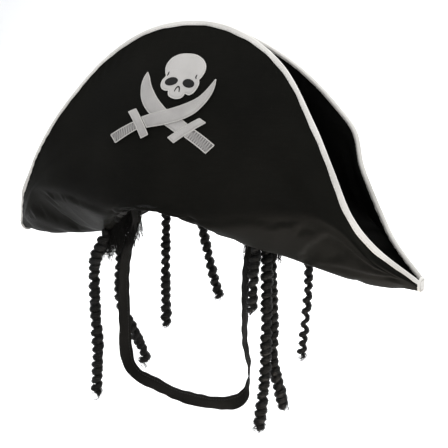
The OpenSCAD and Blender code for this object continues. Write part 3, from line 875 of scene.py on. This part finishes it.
LOWER_BLADE = [
    (-38.2, 51), (-34.6, 57), (-30, 66.3), (-23.5, 75.6), (-15.4, 84.5), (-3.4, 94),
    (7, 99), (16.7, 102.3), (27, 107), (14.5, 115.2), (-0.2, 109), (-11, 104.4),
    (-20.6, 99.2), (-29.7, 91), (-35.8, 82.5), (-39, 75), (-41.2, 65), (-40.7, 57),
]
LOWER_GUARD = [(7, 120.5), (35.2, 97.3), (43, 99.6), (14.6, 124.4)]
LOWER_GRIP = [(33, 109), (59.4, 117), (52.6, 126.8), (24.5, 117.2)]


def emblem_place(ab):
    """Stations and sections of points given in mm."""
    return (ab[:, 0] + EMBLEM_SHIFT) / STATION_W, (ab[:, 1] + EMBLEM_DROP) / SECTION_H


def on_front(ab, depth):
    """Points of the front flap at [a, b] in mm, at a depth in metres."""
    return cloth_layer(*emblem_place(ab), FRONT, np.broadcast_to(depth, (len(ab),)))


def outline(points, corners=(), step=1.0):
    """A closed outline, smooth except at the numbered corners."""
    points = [tuple(p) for p in points]
    if not corners:
        return curve_through(points, step, closed=True)
    out = []
    for a, b in zip(corners, list(corners[1:]) + [corners[0] + len(points)]):
        stretch = [points[k % len(points)] for k in range(a, b + 1)]
        if len(stretch) == 2:
            n = max(2, int(math.dist(*stretch) / step))
            out.append(np.linspace(*stretch, n, endpoint=False))
        else:
            out.append(curve_through(stretch, step)[:-1])
    return np.vstack(out)


def edge_distance(points, ring):
    """Distance from each point to a closed outline."""
    a, b = ring, np.roll(ring, -1, 0)
    ab = b - a
    f = ((points[:, None] - a) * ab).sum(2) / np.maximum((ab ** 2).sum(1), 1e-9)
    near = a + np.clip(f, 0, 1)[..., None] * ab
    return np.linalg.norm(points[:, None] - near, axis=2).min(1)


def inside(points, ring):
    a, b = ring, np.roll(ring, -1, 0)
    x, y = points[:, :1], points[:, 1:]
    crosses = (a[:, 1] > y) != (b[:, 1] > y)
    with np.errstate(divide="ignore", invalid="ignore"):
        at = (b[:, 0] - a[:, 0]) * (y - a[:, 1]) / (b[:, 1] - a[:, 1]) + a[:, 0]
    return (crosses & (x < at)).sum(1) % 2 == 1


def filled(ring, step):
    """Points and triangles that fill an outline."""
    low, high = ring.min(0), ring.max(0)
    x, y = np.meshgrid(np.arange(low[0], high[0], step), np.arange(low[1], high[1], step))
    x[::2] += step / 2
    inner = np.stack([x.ravel(), y.ravel()], 1)
    inner = inner[inside(inner, ring)]
    inner = inner[edge_distance(inner, ring) > step * 0.55]
    points = np.vstack([ring, inner])
    n = len(ring)
    loop = [(i, (i + 1) % n) for i in range(n)]
    made = geometry.delaunay_2d_cdt([Vector(p) for p in points], loop, [], 1, 1e-5)
    flat = np.array([tuple(v) for v in made[0]])
    return flat, np.array([tuple(f) for f in made[2]])


def add_patch(mesh, ring, lift, height, soft=1.4, step=1.6, detail=None, tint=0.55):
    """A puffed patch on the front flap, with a rounded edge and a closed back."""
    flat, faces = filled(ring, step)
    from_edge = edge_distance(flat, ring)
    puff = np.sqrt(np.clip(1 - (1 - np.clip(from_edge / soft, 0, 1)) ** 2, 0, 1))
    top = lift + height * (0.35 + 0.65 * puff)
    shade = np.full(len(flat), tint)
    if detail is not None:
        # The grip's tint change darkens its grooves: painted shade.
        ridge, groove_painted_shade = detail(flat)
        top = top + ridge * np.clip(from_edge / soft, 0, 1)
        shade = shade + groove_painted_shade
    upper = on_front(flat, -top)
    lower = on_front(flat, 0.1 * MM - lift)
    n = len(flat)
    a, b = np.array(boundary_edges(faces)).T
    both = [faces, faces[:, ::-1] + n, np.stack([b, a, a + n, b + n], 1)]
    corner = upper[faces[0]]
    if np.cross(corner[1] - corner[0], corner[2] - corner[0])[1] > 0:
        both = [f[:, ::-1] for f in both]
    mesh.add(np.vstack([upper, lower]), *both, tint=np.tile(shade, 2))


def boundary_edges(faces):
    seen = {(int(f[k]), int(f[k - 2])) for f in faces for k in (0, 1, 2)}
    return sorted(e for e in seen if (e[1], e[0]) not in seen)


def add_edge_thread(mesh, ring, height, radius=0.55 * MM, tint=0.9):
    """Close satin stitches round a patch: a thin cord with a turn every 1.5 mm."""
    ring = np.vstack([ring, ring[:1]])
    run = lengths_along(ring)
    at = np.linspace(0, run[-1], int(run[-1] / 0.5), endpoint=False)
    fine = np.stack([np.interp(at, run, ring[:, k]) for k in (0, 1)], 1)
    line = on_front(fine, -height)
    n = -into(*emblem_place(fine), FRONT)
    swell = radius * (1 + 0.22 * np.sin(at * 2 * math.pi / 1.5))
    mesh.tube(line, swell, 6, tint, across=n.mean(0), closed=True)


def ribs(start, end, count, depth):
    """Cross ribs of a grip between two ends of its axis, with painted shade in the grooves
    between them.
    """
    start, end = np.array(start, float), np.array(end, float)
    axis = end - start

    def shape(flat):
        f = ((flat - start) @ axis) / (axis @ axis)
        wave = np.cos(2 * math.pi * f * count)
        # Height of the ribs, and a tint that drops in the grooves between them: painted
        # shade.
        return depth * (wave - 1) / 2, 1.3 * (wave - 1) / 2
    return shape


def make_swords():
    square = (0, 1, 2, 3)
    # Lift, extra lift of the guard, axis of the grip, and outlines of the three parts
    jobs = {
        "upper_sword": (1.5 * MM, 0.5 * MM, ((-35, 109), (-64.5, 119)),
                        outline(UPPER_BLADE, (0, 8, 18)), UPPER_GRIP, UPPER_GUARD),
        "lower_sword": (0.3 * MM, 0.3 * MM, ((29, 113), (56, 122)),
                        outline(LOWER_BLADE, (0, 8, 9)), LOWER_GRIP, LOWER_GUARD),
    }
    for name, (lift, guard_lift, grip_axis, blade, grip, guard) in jobs.items():
        mesh, edges = Mesh(), Mesh()
        grip_ribs = ribs(*grip_axis, 10, 0.9 * MM)
        parts = [(blade, 0, None), (outline(grip, square), 0, grip_ribs),
                 (outline(guard, square), guard_lift, None)]
        for ring, extra, detail in parts:
            add_patch(mesh, ring, lift + extra, PATCH_T, detail=detail, tint=0.2)
            add_edge_thread(edges, ring, lift + extra + 0.35 * MM, tint=0.4)
        dress(mesh.build(name + "_felt", PATCH), "patch", name)
        dress(edges.build(name + "_edging", THREAD_LIGHT), "thread_light")


def ellipse(centre, radii, tilt, count=28):
    w = np.linspace(0, 2 * math.pi, count, endpoint=False)
    c, s = math.cos(math.radians(tilt)), math.sin(math.radians(tilt))
    x, y = radii[0] * np.cos(w), radii[1] * np.sin(w)
    return np.stack([centre[0] + c * x - s * y, centre[1] + s * x + c * y], 1)


def stroke(points, width):
    """Outline of a short tapered brush stroke."""
    line = curve_through(points, 0.6)
    d = unit(np.gradient(line, axis=0))
    n = np.stack([-d[:, 1], d[:, 0]], 1)
    half = width / 2 * (0.35 + 0.65 * np.sin(np.linspace(0.2, 2.9, len(line))))[:, None]
    return np.vstack([line + n * half, (line - n * half)[::-1]])


def make_skull():
    skull, edges, dark = Mesh(), Mesh(), Mesh()
    ring = outline(SKULL)
    add_patch(skull, ring, 0.3 * MM, PATCH_T * 1.1, soft=2.2)
    add_edge_thread(edges, ring, 0.7 * MM)
    marks = [
        ellipse((-6.6, 64.3), (7.2, 4.5), -6), ellipse((12.7, 64.9), (6.5, 4.5), 9),
        stroke([(0.2, 75), (1.2, 71.2), (3.2, 69.4), (4.8, 71.2), (5.6, 75)], 1.5),
        stroke([(-13.4, 58.2), (-12.6, 56.2), (-12.4, 53.8)], 1.3),
        stroke([(19.2, 59.2), (18.2, 57.2), (18.6, 54.6)], 1.3),
    ]
    for mark in marks:
        add_patch(dark, mark, 1.42 * MM, 0.4 * MM, soft=0.6, step=0.9, tint=0.3)
    dress(skull.build("skull_felt", PATCH), "patch", "skull_patch")
    dress(edges.build("skull_edging", THREAD_LIGHT), "thread_light")
    dress(dark.build("skull_dark_marks", PATCH_DARK), "patch_dark", "skull_sockets")


make_skull()
make_swords()


# ---- crown and sweatband
RIDGE_RX, CROWN_H, CROWN_T = 0.045, 0.118, 1 * MM
CROWN_GAP, CROWN_TUCK = 0.6 * MM, 0.55 * MM
SWEATBAND_H, SWEATBAND_T = 0.024, 1.2 * MM
LOW_INSET, HIGH_INSET = 2.6 * MM, (6.5 * MM, 11 * MM)


def crown_point(phi, v, side):
    rx, ry = OPENING_RX - CROWN_GAP, OPENING_RY - CROWN_GAP
    z0, z1 = side_droop(phi, side) + 1 * MM, CROWN_H - 0.020 * np.sin(phi) ** 2
    return np.stack([(rx - (rx - RIDGE_RX) * v ** 1.5) * np.sin(phi),
                     side * ry * np.cos(phi) * (1 - v ** 1.4) ** 0.7,
                     z0 + (z1 - z0) * v], -1)


def make_crown(side):
    rows, cols = 161, 61
    phi, v = np.meshgrid(np.linspace(-math.pi / 2, math.pi / 2, rows),
                         np.linspace(1, 0, cols), indexing="ij")
    point = crown_point(phi, v, side)
    inward = unit(np.stack([-np.sin(phi) * (1 - v), -side * np.cos(phi) * (1 - v),
                            -v - 0.01], -1))
    ends = np.abs(np.sin(phi)) ** 12
    sag = (1.5 * MM * np.sin(phi * 9 + 2 * v) * np.sin(math.pi * v)
           + 1.1 * MM * np.sin(phi * 17 + 5 * v + side) * np.sin(math.pi * v) ** 2)
    gather = 0.5 * MM * np.sin(phi * 60) * bump(v, 0.97, 0.06)
    point = point + inward * ((1.6 * MM + sag + gather) * (1 - ends)
                              * smooth((1 - v) / 0.08) * smooth(v / 0.1))[..., None]
    level = np.stack([np.sin(phi), side * np.cos(phi), 0 * phi], -1)
    point = point + level * (CROWN_TUCK * bump(v, 0, 0.03))[..., None]
    inward[0, :, 1] = inward[-1, :, 1] = inward[:, 0, 1] = 0
    mesh = Mesh()
    add_shell(mesh, point, point + inward * CROWN_T, flip=side == BACK)
    panel = mesh.build("crown_" + NAMES[side] + "_panel", CROWN)
    dress(panel, "crown_cloth", "crown_" + NAMES[side])


make_crown(FRONT)
make_crown(BACK)


def ellipse_ring(rx, ry, rise, phi):
    return np.stack([rx * np.sin(phi), -ry * np.cos(phi), droop(phi) + rise], -1)


def make_sweatband():
    """A soft tape round the opening, with stitches along both of its edges."""
    steps = 260
    phi = np.arange(steps) * 2 * math.pi / steps
    low = ellipse_ring(OPENING_RX - LOW_INSET, OPENING_RY - LOW_INSET, 3.5 * MM, phi)
    high = ellipse_ring(OPENING_RX - HIGH_INSET[0], OPENING_RY - HIGH_INSET[1],
                        3.5 * MM + SWEATBAND_H, phi)
    outward = unit(np.stack([np.sin(phi), -np.cos(phi), 0 * phi], 1))
    h = np.linspace(0, 1, 13)
    face = low[:, None] * (1 - h)[None, :, None] + high[:, None] * h[None, :, None]
    swell = 0.5 * MM * np.sin(math.pi * h)[None] * (1 + 0.5 * np.sin(phi * 22)[:, None])
    outer = face + outward[:, None] * swell[..., None] * 0.4
    inner = face - outward[:, None] * (SWEATBAND_T + swell)[..., None]
    ring = np.concatenate([outer, inner[:, ::-1]], 1)
    count = ring.shape[1]
    mesh = Mesh()
    mesh.add(ring, grid_faces(steps + 1, count + 1, steps, count))
    dress(mesh.build("sweatband_tape", SWEATBAND), "sweatband_cloth", "sweatband")
    stitches = Mesh()
    inward = -np.vstack([outward, outward[:1]])
    for k in (1, 11):
        line = np.vstack([inner[:, k], inner[:1, k]])
        thread_run(stitches, line, inward, 3 * MM, 1.2 * MM, 0.25 * MM)
    dress(stitches.build("sweatband_stitches", THREAD_DARK), "thread_dark")


make_sweatband()


# ---- tacks and seams
LEFT_LEAN = 0.44


def make_tip_tacks():
    """A folded tab of tape over each tip, with whipped threads round its border."""
    tabs, threads = Mesh(), Mesh()
    low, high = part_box("tip_tacks")
    middle_y, half_y = (low.y + high.y) / 2, (high.y - low.y) / 2
    half_z = 7.5 * MM
    w, v = np.meshgrid(np.linspace(-1, 1, 25), np.linspace(-1, 1, 21), indexing="ij")
    pinch = np.sqrt(1 - 0.5 * v ** 2), np.sqrt(1 - 0.5 * w ** 2)
    dome = 1 - np.maximum(np.abs(w), np.abs(v)) ** 5
    left_x = TIP_X - LEFT_FLEX[0] + 2.9 * MM
    for side, x, lean in ((-1, left_x, LEFT_LEAN), (1, TIP_X + 0.5 * MM, 0)):
        z = low.z + half_z if side > 0 else high.z - half_z
        y, up = middle_y + half_y * w * pinch[0], z + half_z * v * pinch[1]
        out = x + 1.5 * MM * dome + 0.15 * MM * np.sin(v * 14) + lean * (up - z)
        outer = np.stack([side * out, y, up], -1)
        inner = np.stack([side * (out - 0.8 * MM), y, up], -1)
        add_shell(tabs, outer, inner, 0.5 + 0.2 * np.sin(v * 3), flip=side < 0)
        for k in range(22):
            a = 2 * math.pi * k / 22
            edge = [np.clip(1.25 * math.cos(a), -1, 1), np.clip(1.25 * math.sin(a), -1, 1)]
            f = np.linspace(0.72, 1.0, 7)
            yy, zz = middle_y + half_y * edge[0] * f * 0.8, z + half_z * edge[1] * f * 0.8
            bow = 0.25 * MM * np.sin(math.pi * (f - 0.72) / 0.28)
            xx = side * (x + 1.5 * MM + bow + lean * (zz - z))
            threads.tube(np.stack([xx, yy, zz], 1), 0.22 * MM, 5, 0.4, across=(1, 0, 0))
    dress(tabs.build("tip_tabs", BINDING), "binding", "tip_tacks")
    dress(threads.build("tip_tab_threads", THREAD_LIGHT), "thread_light")


def make_strap_tacks():
    """A square of stitches over each sewn end of the ribbon."""
    low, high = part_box("strap_tacks")
    y0, y1, z0, z1 = low.y, high.y, low.z, high.z
    mesh = Mesh()
    corners = [(y0, z0), (y1, z0), (y1, z1), (y0, z1), (y0, z0), (y1, z1)]
    for side in (-1, 1):
        x = side * (high.x - 0.3 * MM)
        for (ya, za), (yb, zb) in zip(corners, corners[1:]):
            line = np.linspace((x, ya, za), (x, yb, zb), 12)
            thread_run(mesh, line, np.tile([-side, 0.0, 0.0], (12, 1)), 1.7 * MM,
                       0.4 * MM, 0.22 * MM)
    dress(mesh.build("strap_tack_stitches", THREAD_DARK), "thread_dark", "strap_tacks")


def make_seams():
    """Overcast stitches along the seams under the wings."""
    mesh = Mesh()
    for sign in (-1, 1):
        u = sign * np.linspace(OPENING_STATION + 0.05, LAST_STATION - 0.05, 160)
        line = lower_edge(u, FRONT)
        for k in range(0, 156, 4):
            a, b = line[k] + [0, -2.2 * MM, 0.5 * MM], line[k + 3] + [0, 2.2 * MM, 0.5 * MM]
            f = np.linspace(0, 1, 7)[:, None]
            bow = -UP * 0.9 * MM * np.sin(math.pi * f)
            mesh.tube(a + (b - a) * f + bow, 0.24 * MM, 5, 0.5, across=(0, 0, 1))
    dress(mesh.build("wing_seam_stitches", THREAD_DARK), "thread_dark")


make_tip_tacks()
make_strap_tacks()
make_seams()


# ---- hair roots
def make_roots():
    """The sewn strip of hair under the flaps, and the tangled hair at its ends, both darker
    than the locks: painted shade under the flaps.
    """
    rng = np.random.default_rng(5)
    mesh = Mesh()
    spans = [(FRONT, -3.4, -1.5), (FRONT, 1.5, 3.4), (BACK, -3.4, 3.4)]
    for side, u0, u1 in spans:
        for u in np.linspace(u0, u1, int((u1 - u0) * 46)):
            f = np.linspace(0, 1, 9)
            t = 3.94 - 0.28 * f
            uu = np.full(9, u) + 0.03 * np.sin(f * 6 + u * 9)
            depth = -(0.6 + 0.7 * np.sin(math.pi * f)) * MM
            line = skin(uu, t, side) + into(uu, t, side) * depth[:, None]
            mesh.tube(line, 0.42 * MM, 4, rng.uniform(0.1, 0.8), across=(1, 0, 0))
    # Middle, half widths and length in mm, and number of hairs of each clump
    clumps = [
        (-88, -33, -24, 11, 10, 40, 170), (-80, -24, -14, 8, 10, 44, 170),
        (-77, -14, -14, 4.5, 10, 40, 120), (-95, -34, -40, 8, 10, 26, 120),
        (-101, -30, -43, 5, 8, 34, 60), (62, -8, -27, 6, 8, 33, 110),
        (73, -6, -34, 8, 8, 29, 130), (83, 2, -38, 7, 9, 24, 110),
    ]
    for *sizes, count in clumps:
        x, y, z, rx, ry, drop = (round(size * MM, 6) for size in sizes)
        for _ in range(count):
            w, r = rng.uniform(0, 2 * math.pi), math.sqrt(rng.uniform(0, 1))
            top = np.array([x + rx * r * math.cos(w), y + ry * r * math.sin(w), z])
            long = drop * rng.uniform(0.6, 1.15)
            f = np.linspace(0, 1, 15)
            crimp = 0.9 * MM * np.sin(f * long / (CRIMP_PITCH * 0.16) + rng.uniform(0, 6))
            sway = rng.normal(0, 0.003, 2)
            line = np.stack([top[0] + sway[0] * f + crimp,
                             top[1] + sway[1] * f + crimp * 0.5, top[2] - long * f], 1)
            mesh.tube(line, 0.42 * MM * (1.1 - 0.6 * f), 4, rng.uniform(0.1, 0.9))
    dress(mesh.build("hair_root_strip", ROOTS_PAINTED_SHADE), "hair_roots", "hair_weft")


make_roots()


# ---- stage
FLOOR_Z = -0.30


def make_stage():
    pale = Look("pale_floor").finish({"Base Color": (0.9, 0.9, 0.9, 1), "Roughness": 0.9})
    mesh = Mesh()
    x = np.linspace(-6, 6, 9)
    bend = np.radians(np.linspace(0, 90, 12))
    y = np.concatenate([[-6, -2, 1.5], 3 + 1.5 * np.sin(bend), [4.5]])
    z = np.concatenate([[0, 0, 0], 1.5 * (1 - np.cos(bend)), [6]]) + FLOOR_Z
    points = np.array([[(a, b, c) for a in x] for b, c in zip(y, z)])
    mesh.add(points, grid_faces(len(y), len(x), flip=True))
    mesh.build("floor", pale)


def area_light(name, place, aim, size, power, colour=(1, 1, 1), seen=True):
    data = bpy.data.lights.new(name, "AREA")
    data.shape, data.size, data.energy, data.color = "DISK", size, power, colour
    light = bpy.data.objects.new(name, data)
    light.location = place
    light.rotation_euler = (Vector(place) - Vector(aim)).to_track_quat("Z", "Y").to_euler()
    light.visible_camera = seen
    bpy.context.scene.collection.objects.link(light)


def make_lights():
    world = bpy.data.worlds.new("studio")
    world.use_nodes = True
    sky = world.node_tree.nodes["Background"].inputs
    sky["Color"].default_value, sky["Strength"].default_value = (0.95, 0.97, 1, 1), 0.75
    bpy.context.scene.world = world
    area_light("overhead", (0.2, 0.4, 2.4), (0, 0, 0), 2.6, 60)
    area_light("key", (1.3, -1.9, 1.6), (0, 0, 0), 1.6, 24, (1, 0.98, 0.95))
    area_light("bounce", (0.19, -0.08, -0.29), (0.17, -0.06, 0), 0.30, 1.1,
               (1, 0.88, 0.76), seen=False)
    area_light("backdrop", (0, 2.2, 2.5), (0, 3.8, -0.2), 2.0, 160)
    bpy.context.scene.view_settings.view_transform = "Standard"


make_stage()
make_lights()
